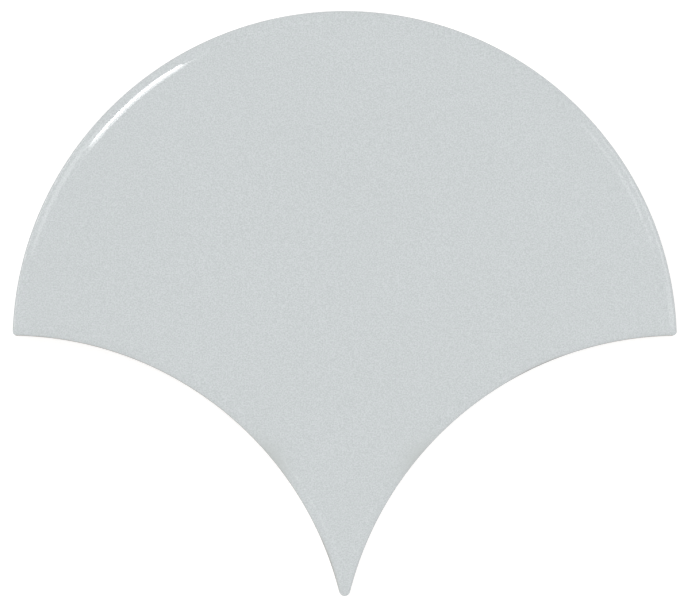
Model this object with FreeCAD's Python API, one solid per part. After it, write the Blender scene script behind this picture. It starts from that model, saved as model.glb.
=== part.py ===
import FreeCAD, Part
import math
import os

# A fish scale wall tile: one dry-pressed ceramic piece, glazed on its face and keyed on its back.
# It lies on its back. +Z is up through the glazed face, +Y points to the top of the dome and -Y to the tip.
# The origin is in the middle of the tile's length and width, on the plane that the back rests on.
# All sizes are in millimetres and all angles in degrees.

# How the tiles are laid, which sets the outline
dome_radius = 60.0
row_pitch = 60.0
joint_width = 1.4
side_gap = 1.0

# Outline corners
shoulder_radius = 0.7
tip_radius = 1.0

# Section
thickness = 8.5
roll_width = 2.6
roll_drop = 1.2
roll_steps = 6
back_bevel = 0.5

# Keyed back
back_rim = 4.0
key_pitch = 8.0
key_rib = 2.2
key_depth = 0.7
key_draft = 30.0
key_corner = 1.5

# Sizes that follow from the ones above
scallop_radius = dome_radius + joint_width
scallop_side = dome_radius + side_gap / 2
tip_bottom = math.sqrt((scallop_radius + tip_radius) ** 2 - scallop_side**2) - row_pitch - tip_radius
dome_centre = -(dome_radius + tip_bottom) / 2
scallop_centre = dome_centre - row_pitch
wall_top = thickness - roll_drop
key_spread = key_depth * math.tan(math.radians(key_draft))


def mirrored(point):
    """The same point on the other side of the tile's middle line."""
    return FreeCAD.Vector(-point.x, point.y, point.z)


def arc(start, middle, end):
    """A circular edge from start to end through middle."""
    return Part.Arc(start, middle, end).toShape()


def middle_of_arc(centre, start, end):
    """The point halfway along the shorter arc from start to end about centre."""
    outward = ((start - centre) + (end - centre)).normalize()
    return centre + outward * (start - centre).Length


def towards(centre, target, distance):
    """The point at a distance from centre on the way to target."""
    return centre + (target - centre).normalize() * distance


def shoulder_centre(dome, dome_to_shoulder, scallop, scallop_to_shoulder):
    """Centre of the round between the dome and the right scallop, given its distances to their centres."""
    span = (scallop - dome).Length
    along = (dome_to_shoulder**2 - scallop_to_shoulder**2 + span**2) / (2 * span)
    aside = math.sqrt(dome_to_shoulder**2 - along**2)
    direction = (scallop - dome).normalize()
    normal = FreeCAD.Vector(-direction.y, direction.x, 0)
    return dome + direction * along + normal * aside


def fan_outline(inset, z, shoulder, tip):
    """Outline of the tile at a height, with its dome and scallops moved inwards and its corners rounded."""
    dome = FreeCAD.Vector(0, dome_centre, z)
    scallop = FreeCAD.Vector(scallop_side, scallop_centre, z)
    dome_edge = dome_radius - inset
    scallop_edge = scallop_radius + inset
    corner = shoulder_centre(dome, dome_edge - shoulder, scallop, scallop_edge + shoulder)
    tip_rise = math.sqrt((scallop_edge + tip) ** 2 - scallop_side**2)
    tip_centre = FreeCAD.Vector(0, scallop_centre + tip_rise, z)

    dome_end = towards(dome, corner, dome_edge)
    scallop_start = towards(scallop, corner, scallop_edge)
    scallop_end = towards(scallop, tip_centre, scallop_edge)
    on_shoulder = middle_of_arc(corner, dome_end, scallop_start)
    on_scallop = middle_of_arc(scallop, scallop_start, scallop_end)
    dome_top = dome + FreeCAD.Vector(0, dome_edge, 0)
    tip_end = tip_centre - FreeCAD.Vector(0, tip, 0)
    return Part.Wire([
        arc(mirrored(dome_end), dome_top, dome_end),
        arc(dome_end, on_shoulder, scallop_start),
        arc(scallop_start, on_scallop, scallop_end),
        arc(scallop_end, tip_end, mirrored(scallop_end)),
        arc(mirrored(scallop_end), mirrored(on_scallop), mirrored(scallop_start)),
        arc(mirrored(scallop_start), mirrored(on_shoulder), mirrored(dome_end)),
    ])


def tile_outline(inset, z):
    """Outline of the tile's own edge, moved inwards."""
    return fan_outline(inset, z, shoulder_radius, tip_radius)


def key_outline(inset, z):
    """Outline of the keyed field on the back, moved inwards."""
    return fan_outline(back_rim + inset, z, key_corner, key_corner)


def bevelled_back():
    """The lowest slice of the tile, narrowing to the plane that the back rests on."""
    return Part.makeLoft([tile_outline(back_bevel, 0), tile_outline(0, back_bevel)], True, True)


def upright_edge():
    """The slice between the bevel and the rolled edge, with upright sides."""
    return Part.Face(tile_outline(0, back_bevel)).extrude(FreeCAD.Vector(0, 0, wall_top - back_bevel))


def rolled_face():
    """The top slice, whose edge rolls over in a quarter of an ellipse up to the flat face."""
    sections = []
    for step in range(roll_steps + 1):
        turn = math.radians(90 * step / roll_steps)
        inset = roll_width * (1 - math.cos(turn))
        sections.append(tile_outline(inset, wall_top + roll_drop * math.sin(turn)))
    return Part.makeLoft(sections, True, False)


def in_key_field(x, y):
    """Whether a point of the back lies inside the rim, clear of the dome's edge and of both scallops."""
    inside_dome = math.hypot(x, y - dome_centre) < dome_radius - back_rim
    outside_scallops = math.hypot(abs(x) - scallop_side, y - scallop_centre) > scallop_radius + back_rim
    return inside_dome and outside_scallops


def square(x, y, z, side):
    """A square outline about a point."""
    half = side / 2
    corners = [(-half, -half), (half, -half), (half, half), (-half, half), (-half, -half)]
    return Part.makePolygon([FreeCAD.Vector(x + right, y + up, z) for right, up in corners])


def key_cell(x, y):
    """A square cell between the ribs, narrowing upwards from the resting plane."""
    mouth = square(x, y, 0, key_pitch - key_rib)
    floor = square(x, y, key_depth, key_pitch - key_rib - 2 * key_spread)
    return Part.makeLoft([mouth, floor], True, True)


def key_recesses():
    """The cells whose middles lie in the keyed field, trimmed to it. A rib runs along each middle line."""
    field = Part.makeLoft([key_outline(0, 0), key_outline(key_spread, key_depth)], True, True)
    reach = math.ceil(dome_radius / key_pitch)
    middles = [(step + 0.5) * key_pitch for step in range(-reach, reach)]
    return [field.common(key_cell(x, y)) for x in middles for y in middles if in_key_field(x, y)]


tile = bevelled_back().fuse([upright_edge(), rolled_face()]).removeSplitter()
tile = tile.cut(key_recesses()).Solids[0]

os.makedirs("parts", exist_ok=True)
tile.exportStep("parts/fish_scale_tile.step")
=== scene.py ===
import math
from typing import NamedTuple

import bmesh
import bpy
import numpy as np
from mathutils import Matrix, Vector


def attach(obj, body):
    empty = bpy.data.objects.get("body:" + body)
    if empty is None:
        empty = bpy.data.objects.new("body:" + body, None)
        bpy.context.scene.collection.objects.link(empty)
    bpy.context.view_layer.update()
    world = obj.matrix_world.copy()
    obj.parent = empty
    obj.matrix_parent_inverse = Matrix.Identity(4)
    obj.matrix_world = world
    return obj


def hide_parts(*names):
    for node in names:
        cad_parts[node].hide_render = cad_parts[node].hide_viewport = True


bl_info = {
    "name": "Fish Scale Tile",
    "version": (1, 0, 0),
    "blender": (4, 5, 0),
    "location": "3D View > Sidebar > Fish Scale Tile",
    "description": "Builds a glazed fish scale wall tile over its solid, and the studio that shows it",
    "category": "Add Mesh",
}

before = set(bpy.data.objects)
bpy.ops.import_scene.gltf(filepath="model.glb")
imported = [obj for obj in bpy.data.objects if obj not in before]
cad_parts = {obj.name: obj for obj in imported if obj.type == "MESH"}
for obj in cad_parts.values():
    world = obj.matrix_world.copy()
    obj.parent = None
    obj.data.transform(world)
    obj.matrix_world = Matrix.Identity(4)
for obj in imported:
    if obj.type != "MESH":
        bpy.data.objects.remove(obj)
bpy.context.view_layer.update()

NODE = "fish_scale_tile"
PIECE = "glazed_fish_scale_tile"
GLAZE_MASK = "glazed"
# Painted shade: a deeper grey painted on each scallop's edge near the neck, where the light falls off
NECK_SHADE_MASK = "deep_grey_and_painted_shade"
# Painted shade: a dark grey line painted along the top of the side at two places
EDGE_LINE_SHADE_MASK = "painted_edge_line_shade"

# Steps along half of the outline: dome, shoulder, scallop and tip
DOME_STEPS = 112
SHOULDER_STEPS = 12
SCALLOP_STEPS = 92
TIP_STEPS = 10

# Rows of points from the middle of the face to the back
FACE_ROWS = 24
ROLL_ROWS = 18
APRON_ROWS = 3
BEAD_ROWS = 4
SIDE_ROWS = 5
BEVEL_ROWS = 5

# Points of a cell in the back: on each corner and up its wall
CELL_CORNER_STEPS = 5
CELL_WALL_ROWS = 9

# Cutting the back: the share of a cell's edge round by which its wall starts below the back, how much
# taller than the cells the keyed field is above and below the back, and the gap in metres under which
# cut points are joined
CELL_LIP = 0.1
FIELD_RISE = 1.05
FIELD_DROP = 1.5
WELD_GAP = 0.000002

# Shading: the angle in degrees past which an edge shows, and the normal's Z of a face that is flat below
SHARP_ANGLE = 40
DOWNWARD = -0.99999

# Crossing sines of a slow wave: how often each turns along X and along Y in a wavelength, and its start
SINES = ((1.0, 0.6, 0.0), (-0.4, 0.7, 1.3), (1.7, -1.1, 2.1))

# Wavelengths in metres of the face and of the glaze's lower line, and the long wave's share in that line
FACE_WAVE = 0.034
LINE_LONG_WAVE = 0.031
LINE_SHORT_WAVE = 0.009
LINE_LONG_SHARE = 0.65

# Power of the way out to the roll with which the face's waves die away
FACE_FADE_POWER = 6

# Where the glaze's colour starts below its line and how far up it takes to be full, in bead heights
GLAZE_START = 0.8
GLAZE_FADE = 0.5

# Places, in metres, where a dark grey line is painted as shade along the top of the side
EDGE_LINE_SHADE_PLACES = ((-0.0035, -0.0470), (0.0350, -0.0113))


class Patches(NamedTuple):
    """A noise in waves a metre, and the two levels between which it is eased from a start to an end."""

    scale: float
    detail: float
    low: float
    high: float
    start: float
    end: float


# The glaze: flecks, mottle, clouds of deeper colour, roughness, and the share of the neck's painted shade
FLECKS = Patches(scale=2600, detail=1, low=0.30, high=0.70, start=0, end=0.60)
MOTTLE = Patches(scale=4100, detail=1, low=0.20, high=0.80, start=0, end=1)
CLOUDS = Patches(scale=45, detail=2, low=0.30, high=0.70, start=0, end=0.07)
GLOSS = Patches(scale=220, detail=2, low=0.30, high=0.70, start=0.035, end=0.055)
NECK_SHADE_SHARE = 0.9

# The bare clay: grain, uneven firing, pores, drag marks, roughness, and the share of the pores' painted
# shade
GRAIN = Patches(scale=2600, detail=3, low=0.45, high=0.75, start=0, end=0.50)
FIRING = Patches(scale=60, detail=3, low=0.30, high=0.70, start=0, end=0.35)
PORES = Patches(scale=2900, detail=0, low=0.70, high=0.80, start=0, end=1)
DRAG = Patches(scale=1500, detail=2, low=0.50, high=0.80, start=0, end=0.35)
DULL = Patches(scale=900, detail=2, low=0.30, high=0.70, start=0.78, end=0.92)
PORE_SHADE_SHARE = 0.6

# Drag marks are drawn out along Z: their waves there, against those along X and Y
DRAG_WAVES_UP = 0.06

# Fine relief: waves a metre, detail and height of the glaze's peel and of the clay's grit, depth of the
# pores, and the length in metres that a height of one stands for
PEEL_SCALE = 330
PEEL_DETAIL = 1
PEEL_HEIGHT = 0.0015
GRIT_SCALE = 3200
GRIT_DETAIL = 3
GRIT_HEIGHT = 0.10
PORE_DEPTH = 0.12
RELIEF_UNIT = 0.001

# Lit cards about the tile: name, shape, turn from +X and lean from straight up, width round the tile and
# height up the studio as the tile sees them, all in degrees, and brightness
CARDS = (
    ("key_glow", "ELLIPSE", 125.9, 18.0, 5.2, 24.0, 5.8),
    ("key_halo", "ELLIPSE", 126.2, 15.5, 9.0, 10.0, 0.6),
    ("left_card", "ELLIPSE", 149.0, 34.5, 15.0, 25.0, 1.5),
    ("left_low_card", "RECTANGLE", 160.0, 86.5, 40.0, 7.0, 4.0),
    ("right_high_card", "ELLIPSE", 31.5, 22.0, 10.0, 15.0, 1.15),
    ("right_low_card", "ELLIPSE", 20.0, 60.0, 42.0, 18.0, 1.75),
    ("right_side_card", "ELLIPSE", 3.0, 43.0, 12.0, 20.0, 1.15),
    ("front_low_card", "RECTANGLE", -90.0, 80.0, 80.0, 20.0, 0.25),
    ("front_strip", "RECTANGLE", -149.0, 25.0, 6.0, 4.0, 2.0),
)
CARD_DISTANCE = 3.0

# Half the width of the floor, in metres
FLOOR_REACH = 3.0


def length(name, description, default):
    """A size in metres that can be set in the sidebar."""
    return bpy.props.FloatProperty(
        name=name, description=description, default=default, min=0, precision=5, unit="LENGTH"
    )


def angle(name, description, degrees):
    """An angle that can be set in the sidebar."""
    return bpy.props.FloatProperty(
        name=name, description=description, default=math.radians(degrees), subtype="ANGLE"
    )


def amount(name, description, default):
    """A plain number that can be set in the sidebar."""
    return bpy.props.FloatProperty(name=name, description=description, default=default, precision=3)


def colour(name, description, default):
    """A linear colour that can be set in the sidebar."""
    return bpy.props.FloatVectorProperty(
        name=name, description=description, default=default, size=3, min=0, max=1, subtype="COLOR"
    )


class TileSizes(bpy.types.PropertyGroup):
    """Sizes of the tile, as in its solid, and of the fine relief that only shows here."""

    dome_radius: length("Dome radius", "Radius of the round top edge", 0.0600)
    row_pitch: length("Row pitch", "Step from one row of laid tiles to the next", 0.0600)
    joint_width: length("Joint", "Grout joint between a scallop and the dome in it", 0.0014)
    side_gap: length("Side gap", "Gap between the shoulders of two tiles in a row", 0.0010)
    shoulder_radius: length("Shoulder radius", "Round between the dome and a scallop", 0.0007)
    tip_radius: length("Tip radius", "Round at the tip between the scallops", 0.0010)
    thickness: length("Thickness", "Height of the face above the back", 0.0085)
    roll_width: length("Roll width", "How far in from the edge the face starts to roll over", 0.0026)
    roll_drop: length("Roll drop", "How far the face's edge drops over the roll", 0.0012)
    back_bevel: length("Back bevel", "Width and height of the softened edge at the back", 0.0005)
    back_rim: length("Back rim", "Flat rim between the edge and the cells in the back", 0.0040)
    key_pitch: length("Key pitch", "Step from one cell in the back to the next", 0.0080)
    key_rib: length("Key rib", "Width of the ribs between the cells", 0.0022)
    key_depth: length("Key depth", "Depth of the cells", 0.0007)
    key_draft: angle("Key draft", "Lean of the cells' walls", 30)
    key_corner: length("Key corner", "Round at the corners of the keyed field", 0.0015)
    cell_corner: length("Cell corner", "Round at the corners of a cell", 0.0006)
    cell_round: length("Cell edge round", "How far a cell's wall is softened at top and bottom", 0.00015)
    glaze_run: length("Glaze run", "How far the glaze runs down the side below the roll", 0.0016)
    glaze_wander: length("Glaze wander", "How far the glaze's lower line strays up and down", 0.0007)
    glaze_bead: length("Glaze bead", "Height of the rounded lower edge of the glaze", 0.00030)
    glaze_coat: length("Glaze coat", "Thickness of the glaze on the side", 0.00003)
    ripple: length("Ripple", "Depth of the face's slow waves", 0.000025)
    hair: length("Hair's breadth", "How far the dressed edge stays inside the solid's", 0.00002)
    # The next three place painted shade: a dark grey line along the top of the side at two places
    edge_line_shade_reach: length("Thin reach", "How far a thinly glazed place fades out along the edge", 0.0050)
    edge_line_shade_rise: length("Thin rise", "How high above the roll's foot the glaze is thinnest", 0.00005)
    edge_line_shade_spread: length("Thin spread", "How far the thin glaze fades out up and down from there", 0.00036)
    # The neck sizes place painted shade: a deeper grey on each scallop's edge near the neck
    neck_side: length("Neck side", "Distance of the neck's pooled glaze from the middle line", 0.0131)
    neck_drop: length("Neck drop", "Distance of the neck's pooled glaze below the origin", 0.0281)
    neck_reach: length("Neck reach", "How far the pooled glaze fades out along the edge", 0.0044)
    neck_depth: length("Neck depth", "How far the pooled glaze fades out in from the edge", 0.0024)


class TileColours(bpy.types.PropertyGroup):
    """Colours of the tile."""

    glaze: colour("Glaze", "Pale grey of the glaze", (0.680, 0.728, 0.727))
    mottle: colour("Glaze mottle", "Darker grey of the glaze's fine mottle", (0.535, 0.571, 0.575))
    fleck: colour("Glaze fleck", "Faint violet tinge of the glaze's flecks", (0.700, 0.700, 0.745))
    # Deeper grey of the glaze's broad clouds, also painted as shade on the scallops' edges at the neck
    deep_grey_and_painted_shade: colour("Pooled glaze", "Deeper grey where the glaze lies thicker", (0.548, 0.578, 0.572))
    biscuit: colour("Biscuit", "Off-white of the bare fired clay", (0.57, 0.52, 0.45))
    # Dark grey painted as shade in a line along the top of the side at two places
    edge_line_shade: colour("Thin glaze", "Dull grey of the clay seen through thin glaze", (0.40, 0.395, 0.38))
    # Dark brown painted in the pores as shade inside them
    pore_shade: colour("Pits", "Dark inside of the bare clay's pores", (0.22, 0.18, 0.14))
    biscuit_dark: colour("Biscuit grain", "Darker grain in the bare clay", (0.42, 0.365, 0.30))


class StudioSettings(bpy.types.PropertyGroup):
    """Camera and light of the picture."""

    view_width: length("View width", "Width of the picture at the height of the tile's edge", 0.12456)
    aim_right: length("Aim right", "How far right of the tile's middle the camera looks", 0.00005)
    aim_down: length("Aim down", "How far below the tile's middle the camera looks", 0.00017)
    lens: amount("Lens", "Focal length in millimetres", 1000.0)
    lean: angle("Camera lean", "How far the camera leans from straight above", 1.2)
    turn: angle("Camera turn", "Way that the camera leans, from +X round to +Y", -116)
    key_turn: angle("Key turn", "Way that the upright softbox's back looks, from +X round to +Y", 146.3)
    key_distance: length("Key distance", "How far from the tile's middle the softbox's plane is", 0.738)
    key_aside: length("Key aside", "How far the softbox stands towards the dome's top in its plane", 0.252)
    key_roll: angle("Key roll", "Lean of the softbox in its own plane", 1.3)
    key_width: length("Key width", "Width of the softbox", 0.301)
    key_low: length("Key bottom", "Height of the softbox's lower edge", 1.6)
    key_high: length("Key top", "Height of the softbox's upper edge", 3.22)
    key_brightness: amount("Key brightness", "Brightness of the softbox", 12.0)
    surround: amount("Surround", "Brightness of the soft light from straight above", 0.662)
    horizon: amount("Horizon", "How much brighter the surround is on the level than above", 0.18)
    front: amount("Front", "How much brighter the surround is towards the tip than on the level", 0.10)
    white: amount("White", "Brightness of the surround as the camera sees it", 1.0)
    floor_pale: amount("Floor paleness", "Share of the light that the floor throws back on the tile", 0.72)
    floor_seen: amount("Floor shade", "Share of the floor's light and shadow that the camera sees", 0.45)
    floor_glow: amount("Floor glow", "Brightness of the floor to the camera whatever falls on it", 0.745)


class Fan:
    """Plan of the tile: where the centres of its dome and scallops lie, from how the tiles are laid."""

    def __init__(self, sizes):
        tip_reach = sizes.dome_radius + sizes.joint_width + sizes.tip_radius
        self.dome_radius = sizes.dome_radius
        self.scallop_radius = sizes.dome_radius + sizes.joint_width
        self.scallop_side = sizes.dome_radius + sizes.side_gap / 2
        tip_bottom = math.sqrt(tip_reach**2 - self.scallop_side**2) - sizes.row_pitch - sizes.tip_radius
        self.dome_centre = -(sizes.dome_radius + tip_bottom) / 2
        self.scallop_centre = self.dome_centre - sizes.row_pitch

    def face_middle(self):
        """Point on the middle line as far from the dome's top as from both scallops."""
        drop = self.dome_centre + self.dome_radius - self.scallop_centre
        reach = (self.scallop_side**2 + drop**2 - self.scallop_radius**2) / 2 / (self.scallop_radius + drop)
        return np.array([0, self.dome_centre + self.dome_radius - reach])

    def from_scallop(self, x, y):
        """Distance of a point in from the edge of the nearer scallop."""
        return np.hypot(np.abs(x) - self.scallop_side, y - self.scallop_centre) - self.scallop_radius

    def inside(self, x, y, inset):
        """True where a point lies further than inset from the dome's edge and from both scallops."""
        in_dome = np.hypot(x, y - self.dome_centre) < self.dome_radius - inset
        return in_dome & (self.from_scallop(x, y) > inset)

    def rings(self, inset, shoulder, tip):
        """Outlines moved inwards, a row of plan points for each inset, clockwise from the dome's top.

        The right half is four arcs: the dome at its radius less the inset, a round at the shoulder that
        touches dome and scallop, the scallop at its radius plus the inset, and a round at the tip. The left
        half is the right half's mirror image.
        """
        dome_edge = self.dome_radius - inset
        scallop_edge = self.scallop_radius + inset
        dome = np.array([0, self.dome_centre])
        scallop = np.array([self.scallop_side, self.scallop_centre])
        to_dome = dome_edge - shoulder
        to_scallop = scallop_edge + shoulder
        span = np.linalg.norm(scallop - dome)
        across = (scallop - dome) / span
        along = (to_dome**2 - to_scallop**2 + span**2) / (2 * span)
        aside = np.sqrt(to_dome**2 - along**2)
        corner = dome + np.outer(along, across) + np.outer(aside, [-across[1], across[0]])
        tip_rise = np.sqrt((scallop_edge + tip) ** 2 - self.scallop_side**2)
        tip_centre = np.stack([0 * tip_rise, self.scallop_centre + tip_rise], axis=-1)

        dome_end = heading(dome, corner)
        scallop_start = heading(scallop, corner)
        scallop_end = heading(scallop, tip_centre)
        right = np.concatenate(
            [
                arcs(dome, dome_edge, np.full_like(inset, math.pi / 2), dome_end, DOME_STEPS),
                arcs(corner, shoulder, dome_end, scallop_start - math.pi, SHOULDER_STEPS),
                arcs(scallop, scallop_edge, scallop_start, scallop_end, SCALLOP_STEPS),
                arcs(tip_centre, tip, scallop_end - math.pi, np.full_like(inset, -math.pi / 2), TIP_STEPS),
                (tip_centre - [0, tip])[:, None, :],
            ],
            axis=1,
        )
        left = right[:, -2:0:-1] * [-1, 1]
        return np.concatenate([right, left], axis=1)


def heading(start, end):
    """Angle of the way from one point to another."""
    way = end - start
    return np.arctan2(way[..., 1], way[..., 0])


def arcs(centre, radius, start, end, steps):
    """One arc a row: its centre plus the radius turned in even steps from start to just before end."""
    turn = start[:, None] + (end - start)[:, None] * np.arange(steps) / steps
    spokes = np.stack([np.cos(turn), np.sin(turn)], axis=-1)
    return np.broadcast_to(centre, (len(start), 2))[:, None, :] + np.reshape(radius, (-1, 1, 1)) * spokes


def slow_waves(plan, wavelength):
    """Gentle waves between -1 and 1 over the plan: the mean of crossing sines of unequal length."""
    x, y = np.moveaxis(2 * math.pi / wavelength * plan, -1, 0)
    return sum(np.sin(along_x * x + along_y * y + start) for along_x, along_y, start in SINES) / len(SINES)


def plateau(across, up, reach):
    """Flat-topped bell curve: 1 in its middle, fading with the fourth power of distance over reach."""
    return np.exp(-(((across**2 + up**2) / reach**2) ** 2))


def bell(across, up, reach):
    """Bell curve that is 1 in its middle and fades out with the square of the distance over the reach."""
    return np.exp(-(across**2 + up**2) / reach**2)


def edge_line_shade_places(plan, sizes):
    """How strongly the painted dark line marks the plan's points, from 0 to 1: a flat-topped bell about
    each place.
    """
    return sum(plateau(plan[..., 0] - x, plan[..., 1] - y, sizes.edge_line_shade_reach) for x, y in EDGE_LINE_SHADE_PLACES)


def glaze_line(plan, sizes):
    """Height at which the glaze ends: a run below the roll, straying with long and short waves."""
    long_part = LINE_LONG_SHARE * slow_waves(plan, LINE_LONG_WAVE)
    short_part = (1 - LINE_LONG_SHARE) * slow_waves(plan, LINE_SHORT_WAVE)
    edge = sizes.thickness - sizes.roll_drop - sizes.glaze_run
    return edge + sizes.glaze_wander * (long_part + short_part)


def face_rows(fan, sizes):
    """The face: the roll's inner outline shrunk in even steps to its middle, sunk by slow waves."""
    rim = fan.rings(np.array([sizes.hair + sizes.roll_width]), sizes.shoulder_radius, sizes.tip_radius)
    share = np.arange(1, FACE_ROWS)[:, None, None] / FACE_ROWS
    plan = fan.face_middle() + share * (rim - fan.face_middle())
    fade = 1 - share[..., 0] ** FACE_FADE_POWER
    sunk = sizes.ripple * (1 - slow_waves(plan, FACE_WAVE)) / 2 * fade
    return np.concatenate([plan, (sizes.thickness - sunk)[..., None]], axis=-1)


def edge_rows(fan, sizes):
    """The edge's section carried round the outline, from the top of the roll down to the back.

    The roll is a quarter of an ellipse. Below it the glaze runs down to a straying line and ends in a
    quarter-round bead, the bare clay goes straight down, and another quarter round leads under the back.
    """
    wall_top = sizes.thickness - sizes.roll_drop
    roll = np.linspace(math.pi / 2, 0, ROLL_ROWS)
    apron = np.arange(1, APRON_ROWS + 1) / APRON_ROWS
    bead = np.arange(1, BEAD_ROWS + 1) / BEAD_ROWS * math.pi / 2
    side = np.arange(1, SIDE_ROWS + 1) / SIDE_ROWS
    bevel = np.arange(1, BEVEL_ROWS + 1) / BEVEL_ROWS * math.pi / 2
    inset = np.concatenate(
        [
            sizes.roll_width * (1 - np.cos(roll)),
            np.zeros_like(apron),
            sizes.glaze_coat * (1 - np.cos(bead)),
            np.full_like(side, sizes.glaze_coat),
            sizes.glaze_coat + (sizes.back_bevel - sizes.glaze_coat) * (1 - np.cos(bevel)),
        ]
    )
    plan = fan.rings(sizes.hair + inset, sizes.shoulder_radius, sizes.tip_radius)
    line = glaze_line(plan[ROLL_ROWS - 1], sizes)
    below = line - sizes.glaze_bead
    height = np.concatenate(
        [
            np.outer(wall_top + sizes.roll_drop * np.sin(roll), np.ones_like(line)),
            wall_top + np.outer(apron, line - wall_top),
            line - np.outer(sizes.glaze_bead * np.sin(bead), np.ones_like(line)),
            below + np.outer(side, sizes.back_bevel - below),
            np.outer(sizes.back_bevel * (1 - np.sin(bevel)), np.ones_like(line)),
        ]
    )
    return np.concatenate([plan, height[..., None]], axis=-1)


def cell_wall(sizes):
    """How far a cell's wall leans in and how high it is, by row: half a cosine wave up to its floor."""
    share = np.linspace(0, 1, CELL_WALL_ROWS)
    lean = sizes.key_depth * math.tan(sizes.key_draft) + 2 * sizes.cell_round
    inward = lean * share - sizes.cell_round
    start = -CELL_LIP * sizes.cell_round
    height = start + (sizes.key_depth - start) * (1 - np.cos(math.pi * share)) / 2
    below = -sizes.key_depth
    return np.insert(inward, 0, inward[0]), np.insert(height, 0, below)


def cell_stacks(fan, sizes):
    """Square rings with round corners, row by row up each cell whose middle lies inside the rim."""
    reach = math.ceil(sizes.dome_radius / sizes.key_pitch)
    middles = (np.arange(-reach, reach) + 0.5) * sizes.key_pitch
    across, up = [grid.ravel() for grid in np.meshgrid(middles, middles)]
    kept = fan.inside(across, up, sizes.back_rim)
    inward, height = cell_wall(sizes)
    straight = (sizes.key_pitch - sizes.key_rib) / 2 - inward - sizes.cell_corner
    corner = np.repeat(np.arange(4), CELL_CORNER_STEPS) * math.pi / 2
    turn = corner + np.tile(np.linspace(0, math.pi / 2, CELL_CORNER_STEPS), 4)
    right = np.sign(np.cos(corner + math.pi / 4))
    top = np.sign(np.sin(corner + math.pi / 4))
    x = across[kept][:, None, None] + np.outer(straight, right) + sizes.cell_corner * np.cos(turn)
    y = up[kept][:, None, None] + np.outer(straight, top) + sizes.cell_corner * np.sin(turn)
    z = np.broadcast_to(height[:, None], x.shape)
    return np.stack([x, y, z], axis=-1)


def field_stack(fan, sizes):
    """The keyed field's outline carried up the same wall as a cell's, a little taller than the cells."""
    inward, height = cell_wall(sizes)
    plan = fan.rings(sizes.back_rim + inward, sizes.key_corner, sizes.key_corner)
    taller = height * np.where(height > 0, FIELD_RISE, FIELD_DROP)
    tall = np.broadcast_to(taller[:, None, None], (*plan.shape[:2], 1))
    return np.concatenate([plan, tall], axis=-1)[None, :, ::-1]


def stack_mesh(name, stacks):
    """A mesh of closed stacks of rings: quads between neighbouring rings, one face across each end."""
    count, rows, around = stacks.shape[:3]
    index = np.arange(count * rows * around).reshape(count, rows, around)
    onward = np.roll(index, -1, axis=2)
    quads = np.stack([index[:, :-1], onward[:, :-1], onward[:, 1:], index[:, 1:]], axis=-1).reshape(-1, 4)
    bottoms = index[:, 0, ::-1]
    tops = index[:, -1]
    mesh = bpy.data.meshes.new(name)
    mesh.from_pydata(stacks.reshape(-1, 3).tolist(), [], quads.tolist() + bottoms.tolist() + tops.tolist())
    return mesh


def shell_mesh(name, middle, rows):
    """A closed mesh: a fan from the middle, quads from row to row and one face across the last row."""
    count, around = rows.shape[:2]
    index = 1 + np.arange(count * around).reshape(count, around)
    onward = np.roll(index, -1, axis=1)
    fan = np.stack([np.zeros(around, dtype=int), onward[0], index[0]], axis=-1)
    quads = np.stack([index[:-1], onward[:-1], onward[1:], index[1:]], axis=-1).reshape(-1, 4)
    points = np.vstack([middle, rows.reshape(-1, 3)])
    mesh = bpy.data.meshes.new(name)
    mesh.from_pydata(points.tolist(), [], fan.tolist() + quads.tolist() + [index[-1].tolist()])
    return mesh


def add_object(name, data):
    """A new object at the origin, in the scene."""
    made = bpy.data.objects.new(name, data)
    bpy.context.scene.collection.objects.link(made)
    return made


def combine(target, tool, operation):
    """Puts the boolean of target and tool into target's mesh, and removes tool."""
    step = target.modifiers.new(operation, "BOOLEAN")
    step.operation = operation
    step.solver = "EXACT"
    step.object = tool
    graph = bpy.context.evaluated_depsgraph_get()
    result = bpy.data.meshes.new_from_object(target.evaluated_get(graph))
    target.modifiers.clear()
    target.data = result
    bpy.data.objects.remove(tool)


def weld(mesh):
    """Joins the points that the cuts have left almost together."""
    work = bmesh.new()
    work.from_mesh(mesh)
    bmesh.ops.remove_doubles(work, verts=work.verts, dist=WELD_GAP)
    work.to_mesh(mesh)
    work.free()


def check_closed(mesh):
    """Stops with an error where an edge of the mesh doesn't join just two faces."""
    edges = np.empty(len(mesh.loops), dtype=int)
    mesh.loops.foreach_get("edge_index", edges)
    loose = np.count_nonzero(np.bincount(edges, minlength=len(mesh.edges)) != 2)
    if loose or not len(edges):
        raise RuntimeError(f"{mesh.name} isn't closed: {loose} edges don't join two faces")


def soften_shading(mesh):
    """Shades the mesh smooth, with sharp edges about its flat downward faces so that they stay flat."""
    mesh.shade_smooth()
    mesh.set_sharp_from_angle(angle=math.radians(SHARP_ANGLE))
    normals = np.empty(len(mesh.polygons) * 3)
    mesh.polygons.foreach_get("normal", normals)
    flat = normals[2::3] < DOWNWARD
    sizes = np.empty(len(mesh.polygons), dtype=int)
    mesh.polygons.foreach_get("loop_total", sizes)
    edges = np.empty(len(mesh.loops), dtype=int)
    mesh.loops.foreach_get("edge_index", edges)
    flat_sides = np.bincount(edges[np.repeat(flat, sizes)], minlength=len(mesh.edges))
    sharp = np.empty(len(mesh.edges), dtype=bool)
    mesh.edges.foreach_get("use_edge_sharp", sharp)
    mesh.edges.foreach_set("use_edge_sharp", sharp | (flat_sides == 1))


def mark(mesh, name, values):
    """Writes one number on each point of the mesh, under a name that materials read."""
    layer = mesh.attributes.new(name, "FLOAT", "POINT")
    layer.data.foreach_set("value", values.astype(np.float32))


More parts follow.
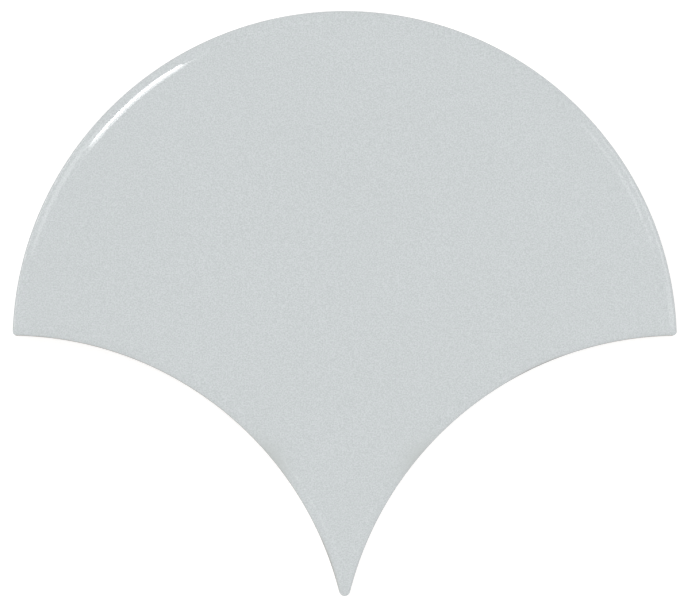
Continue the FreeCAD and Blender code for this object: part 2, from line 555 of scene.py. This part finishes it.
def mark_glaze(mesh, fan, sizes):
    """Marks the points above the glaze's lower line as glazed, and where shade and a dark edge line are
    painted.

    The glaze fades out over the middle of its bead. The painted shade at the neck is a bell curve about one
    place on each scallop's edge, times one of the distance from that edge. The painted dark line is a bell
    curve about a height just above the roll's foot, times the weight of its place.
    """
    points = np.empty(len(mesh.vertices) * 3)
    mesh.vertices.foreach_get("co", points)
    x, y, z = points.reshape(-1, 3).T
    plan = np.stack([x, y], axis=-1)
    line = glaze_line(plan, sizes)
    above = (z - line) / sizes.glaze_bead
    mark(mesh, GLAZE_MASK, np.clip((above + GLAZE_START) / GLAZE_FADE, 0, 1))
    # Painted shade: a deeper grey on each scallop's edge near the neck
    along = bell(np.abs(x) - sizes.neck_side, y + sizes.neck_drop, sizes.neck_reach)
    mark(mesh, NECK_SHADE_MASK, along * bell(fan.from_scallop(x, y), 0, sizes.neck_depth))
    # Painted shade: a dark grey line just above the roll's foot at two places
    edge_line_height = sizes.thickness - sizes.roll_drop + sizes.edge_line_shade_rise
    mark(mesh, EDGE_LINE_SHADE_MASK, edge_line_shade_places(plan, sizes) * bell(z - edge_line_height, 0, sizes.edge_line_shade_spread))


def add_node(tree, kind, inputs=(), **settings):
    """A new shader node with its settings, and with values or links put on its inputs."""
    made = tree.nodes.new(kind)
    for name, value in settings.items():
        setattr(made, name, value)
    for socket, value in dict(inputs).items():
        if isinstance(value, bpy.types.NodeSocket):
            tree.links.new(value, made.inputs[socket])
        else:
            made.inputs[socket].default_value = value
    return made


def masked(tree, name):
    """The number that the mesh carries on its points under a name."""
    return add_node(tree, "ShaderNodeAttribute", attribute_name=name).outputs["Fac"]


def noise(tree, place, scale, detail):
    """Even noise about one half, with a scale in waves a metre."""
    inputs = {"Vector": place, "Scale": scale, "Detail": detail}
    return add_node(tree, "ShaderNodeTexNoise", inputs).outputs["Fac"]


def patches(tree, place, kind):
    """A noise eased from its start to its end between its two levels."""
    inputs = {"Value": noise(tree, place, kind.scale, kind.detail)}
    inputs |= {"From Min": kind.low, "From Max": kind.high, "To Min": kind.start, "To Max": kind.end}
    return add_node(tree, "ShaderNodeMapRange", inputs, interpolation_type="SMOOTHSTEP").outputs["Result"]


def mix_colour(tree, share, first, second):
    """Two colours mixed by a share."""
    return add_node(tree, "ShaderNodeMix", {0: share, 6: first, 7: second}, data_type="RGBA").outputs[2]


def mix_value(tree, share, first, second):
    """Two numbers mixed by a share."""
    return add_node(tree, "ShaderNodeMix", {0: share, 2: first, 3: second}, data_type="FLOAT").outputs[0]


def times(tree, first, second):
    """The product of two numbers."""
    return add_node(tree, "ShaderNodeMath", {0: first, 1: second}, operation="MULTIPLY").outputs[0]


def times_plus(tree, first, second, third):
    """The product of two numbers, plus a third."""
    inputs = {0: first, 1: second, 2: third}
    return add_node(tree, "ShaderNodeMath", inputs, operation="MULTIPLY_ADD").outputs[0]


def opaque(rgb):
    """A colour with full alpha."""
    return (*rgb, 1.0)


def glaze_colour(tree, place, colours):
    """Pale grey with flecks, fine mottle and broad clouds, with painted shade at the neck and on two edge
    places.
    """
    deep_grey_and_painted_shade = opaque(colours.deep_grey_and_painted_shade)
    flecked = mix_colour(tree, patches(tree, place, FLECKS), opaque(colours.glaze), opaque(colours.fleck))
    mottled = mix_colour(tree, patches(tree, place, MOTTLE), flecked, opaque(colours.mottle))
    clouded = mix_colour(tree, patches(tree, place, CLOUDS), mottled, deep_grey_and_painted_shade)
    # Painted shade: the deeper grey on the scallops' edges near the neck
    neck_shaded = mix_colour(tree, times(tree, masked(tree, NECK_SHADE_MASK), NECK_SHADE_SHARE), clouded, deep_grey_and_painted_shade)
    # Painted shade: a dark grey line at two places on the edge
    return mix_colour(tree, masked(tree, EDGE_LINE_SHADE_MASK), neck_shaded, opaque(colours.edge_line_shade))


def drag_marks(tree, place):
    """Fine upright streaks that the die leaves on the sides: noise drawn out along Z."""
    inputs = {"Vector": place, "Scale": (1.0, 1.0, DRAG_WAVES_UP)}
    drawn = add_node(tree, "ShaderNodeMapping", inputs).outputs["Vector"]
    return patches(tree, drawn, DRAG)


def biscuit_colour(tree, place, pores, colours):
    """Off-white clay with slow uneven firing, drag marks, fine darker grain, and shade painted in the
    pores.
    """
    dark = opaque(colours.biscuit_dark)
    fired = mix_colour(tree, patches(tree, place, FIRING), opaque(colours.biscuit), dark)
    dragged = mix_colour(tree, drag_marks(tree, place), fired, dark)
    grained = mix_colour(tree, patches(tree, place, GRAIN), dragged, dark)
    # Painted shade: the pores darkened towards the dark brown
    return mix_colour(tree, times(tree, pores, PORE_SHADE_SHARE), grained, opaque(colours.pore_shade))


def fine_relief(tree, place, pores, mask):
    """The surface's normal: the glaze's soft peel, or the clay's grit sunk at its pores."""
    peel = times(tree, noise(tree, place, PEEL_SCALE, PEEL_DETAIL), PEEL_HEIGHT)
    grit = times(tree, noise(tree, place, GRIT_SCALE, GRIT_DETAIL), GRIT_HEIGHT)
    pitted = times_plus(tree, pores, -PORE_DEPTH, grit)
    inputs = {"Height": mix_value(tree, mask, pitted, peel), "Strength": 1.0, "Distance": RELIEF_UNIT}
    return add_node(tree, "ShaderNodeBump", inputs).outputs["Normal"]


def tile_material(colours):
    """Glossy glaze over rough bare clay, parted by the glaze mask that the mesh carries."""
    material = bpy.data.materials.new("glaze_on_biscuit")
    material.use_nodes = True
    tree = material.node_tree
    shader = tree.nodes["Principled BSDF"]
    place = add_node(tree, "ShaderNodeTexCoord").outputs["Object"]
    mask = masked(tree, GLAZE_MASK)
    pores = patches(tree, place, PORES)
    clay = biscuit_colour(tree, place, pores, colours)
    shade = mix_colour(tree, mask, clay, glaze_colour(tree, place, colours))
    rough = mix_value(tree, mask, patches(tree, place, DULL), patches(tree, place, GLOSS))
    tree.links.new(shade, shader.inputs["Base Color"])
    tree.links.new(rough, shader.inputs["Roughness"])
    tree.links.new(fine_relief(tree, place, pores, mask), shader.inputs["Normal"])
    return material


class BuildTile(bpy.types.Operator):
    """Builds the tile: rolled face, glazed edge, bare side and keyed back in one closed mesh"""

    bl_idname = "fish_scale.build_tile"
    bl_label = "Build tile"
    bl_options = {"UNDO"}

    def execute(self, context):
        sizes = context.scene.fish_scale_sizes
        fan = Fan(sizes)
        middle = [*fan.face_middle(), sizes.thickness]
        rows = np.concatenate([face_rows(fan, sizes), edge_rows(fan, sizes)])
        tile = add_object(PIECE, shell_mesh(PIECE, middle, rows))
        cells = add_object("key_cells", stack_mesh("key_cells", cell_stacks(fan, sizes)))
        field = add_object("key_field", stack_mesh("key_field", field_stack(fan, sizes)))
        combine(cells, field, "INTERSECT")
        combine(tile, cells, "DIFFERENCE")
        tile.data.name = PIECE
        weld(tile.data)
        check_closed(tile.data)
        soften_shading(tile.data)
        mark_glaze(tile.data, fan, sizes)
        tile.data.materials.clear()
        tile.data.materials.append(tile_material(context.scene.fish_scale_colours))
        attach(tile, "root")
        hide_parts(NODE)
        return {"FINISHED"}


def towards(azimuth, lean):
    """Direction at a lean from straight up, turned round the tile from +X."""
    flat = math.sin(lean)
    return Vector((flat * math.cos(azimuth), flat * math.sin(azimuth), math.cos(lean)))


def add_area(name, shape, width, height, brightness, back, place, roll=0):
    """A flat light of even brightness whose back looks along a direction, level but for its roll."""
    side = Vector((0, 0, 1)).cross(back).normalized()
    light = bpy.data.lights.new(name, "AREA")
    light.shape = shape
    light.size = width
    light.size_y = height
    share = math.pi / 4 if shape == "ELLIPSE" else 1
    light.energy = brightness * math.pi * share * width * height
    facing = Matrix((side, back.cross(side), back)).transposed().to_4x4()
    rolled = facing @ Matrix.Rotation(roll, 4, "Z")
    add_object(name, light).matrix_world = Matrix.Translation(place) @ rolled


def add_card(name, shape, turn, lean, width, height, brightness):
    """A lit card that faces the tile, sized by the angles that it covers as the tile sees it."""
    back = towards(math.radians(turn), math.radians(lean))
    across = 2 * CARD_DISTANCE * math.tan(math.radians(width / 2))
    up = 2 * CARD_DISTANCE * math.tan(math.radians(height / 2))
    add_area(name, shape, across, up, brightness, back, back * CARD_DISTANCE)


def add_key(studio):
    """An upright softbox, leaning so that its sides run up to where the face mirrors the camera."""
    back = towards(studio.key_turn, math.pi / 2)
    side = Vector((0, 0, 1)).cross(back)
    tall = studio.key_high - studio.key_low
    place = back * studio.key_distance - side * studio.key_aside
    place.z = studio.key_low + tall / 2
    size = studio.key_width, tall
    add_area("key_softbox", "RECTANGLE", *size, studio.key_brightness, back, place, studio.key_roll)


def add_camera(studio, edge_height):
    """A long lens above the tile, leaning a little, with the dome's top upwards in the picture."""
    data = bpy.data.cameras.new("camera")
    data.lens = studio.lens
    distance = studio.view_width * data.lens / data.sensor_width
    back = towards(studio.turn, studio.lean)
    side = Vector((0, 1, 0)).cross(back).normalized()
    aim = Vector((studio.aim_right, -studio.aim_down, edge_height))
    facing = Matrix((side, back.cross(side), back)).transposed().to_4x4()
    camera = add_object("camera", data)
    camera.matrix_world = Matrix.Translation(aim + back * distance) @ facing
    return camera


def floor_material(studio):
    """Pale floor that throws light back on the tile, seen as white but for a faint shadow beside it."""
    material = bpy.data.materials.new("pale_floor")
    material.use_nodes = True
    tree = material.node_tree
    shader = tree.nodes["Principled BSDF"]
    shader.inputs["Roughness"].default_value = 1.0
    shader.inputs["Specular IOR Level"].default_value = 0.0
    shader.inputs["Emission Color"].default_value = opaque((1.0, 1.0, 1.0))
    seen = add_node(tree, "ShaderNodeLightPath").outputs["Is Camera Ray"]
    shade = mix_value(tree, seen, studio.floor_pale, studio.floor_seen)
    glow = mix_value(tree, seen, 0.0, studio.floor_glow)
    tree.links.new(shade, shader.inputs["Base Color"])
    tree.links.new(glow, shader.inputs["Emission Strength"])
    return material


def add_floor(studio):
    """A wide floor, as a grid of two parameters at the height of the tile's back."""
    ends = np.array([-FLOOR_REACH, FLOOR_REACH])
    across, up = np.meshgrid(ends, ends)
    points = np.stack([across.ravel(), up.ravel(), np.zeros(across.size)], axis=-1)
    mesh = bpy.data.meshes.new("floor")
    mesh.from_pydata(points.tolist(), [], [[0, 1, 3, 2]])
    mesh.materials.append(floor_material(studio))
    add_object("floor", mesh)


def set_surround(scene, studio):
    """Soft light from all round, brighter on the level and towards the tip, seen as white as the floor."""
    world = bpy.data.worlds.new("studio")
    scene.world = world
    world.use_nodes = True
    tree = world.node_tree
    background = tree.nodes["Background"]
    background.inputs["Color"].default_value = opaque((1.0, 1.0, 1.0))
    place = add_node(tree, "ShaderNodeTexCoord").outputs["Generated"]
    way = add_node(tree, "ShaderNodeSeparateXYZ", {0: place})
    lifted = times_plus(tree, way.outputs["Z"], -studio.horizon, studio.surround + studio.horizon)
    around = times_plus(tree, way.outputs["Y"], -studio.front, lifted)
    seen = add_node(tree, "ShaderNodeLightPath").outputs["Is Camera Ray"]
    tree.links.new(mix_value(tree, seen, around, studio.white), background.inputs["Strength"])


class BuildStage(bpy.types.Operator):
    """Builds the studio: pale floor, soft light and the camera"""

    bl_idname = "fish_scale.build_stage"
    bl_label = "Build studio"
    bl_options = {"UNDO"}

    def execute(self, context):
        scene = context.scene
        studio = scene.fish_scale_studio
        sizes = scene.fish_scale_sizes
        add_floor(studio)
        set_surround(scene, studio)
        add_key(studio)
        for card in CARDS:
            add_card(*card)
        scene.camera = add_camera(studio, sizes.thickness - sizes.roll_drop)
        scene.view_settings.view_transform = "Standard"
        scene.view_settings.look = "None"
        return {"FINISHED"}


class TilePanel(bpy.types.Panel):
    """Sidebar panel with the tile's sizes, colours and studio, and the steps that build them"""

    bl_idname = "VIEW3D_PT_fish_scale_tile"
    bl_label = "Fish Scale Tile"
    bl_space_type = "VIEW_3D"
    bl_region_type = "UI"
    bl_category = "Fish Scale Tile"

    def draw(self, context):
        scene = context.scene
        for group in (scene.fish_scale_sizes, scene.fish_scale_colours, scene.fish_scale_studio):
            box = self.layout.box()
            for name in group.__annotations__:
                box.prop(group, name)
        self.layout.operator(BuildTile.bl_idname)
        self.layout.operator(BuildStage.bl_idname)


CLASSES = (TileSizes, TileColours, StudioSettings, BuildTile, BuildStage, TilePanel)


def register():
    """Adds the classes, and the settings that a scene holds."""
    for kind in CLASSES:
        bpy.utils.register_class(kind)
    bpy.types.Scene.fish_scale_sizes = bpy.props.PointerProperty(type=TileSizes)
    bpy.types.Scene.fish_scale_colours = bpy.props.PointerProperty(type=TileColours)
    bpy.types.Scene.fish_scale_studio = bpy.props.PointerProperty(type=StudioSettings)


def unregister():
    """Removes the settings and the classes again."""
    del bpy.types.Scene.fish_scale_studio
    del bpy.types.Scene.fish_scale_colours
    del bpy.types.Scene.fish_scale_sizes
    for kind in reversed(CLASSES):
        bpy.utils.unregister_class(kind)


def main():
    """Builds the tile and its studio."""
    register()
    bpy.ops.fish_scale.build_tile()
    bpy.ops.fish_scale.build_stage()


if __name__ == "__main__":
    main()
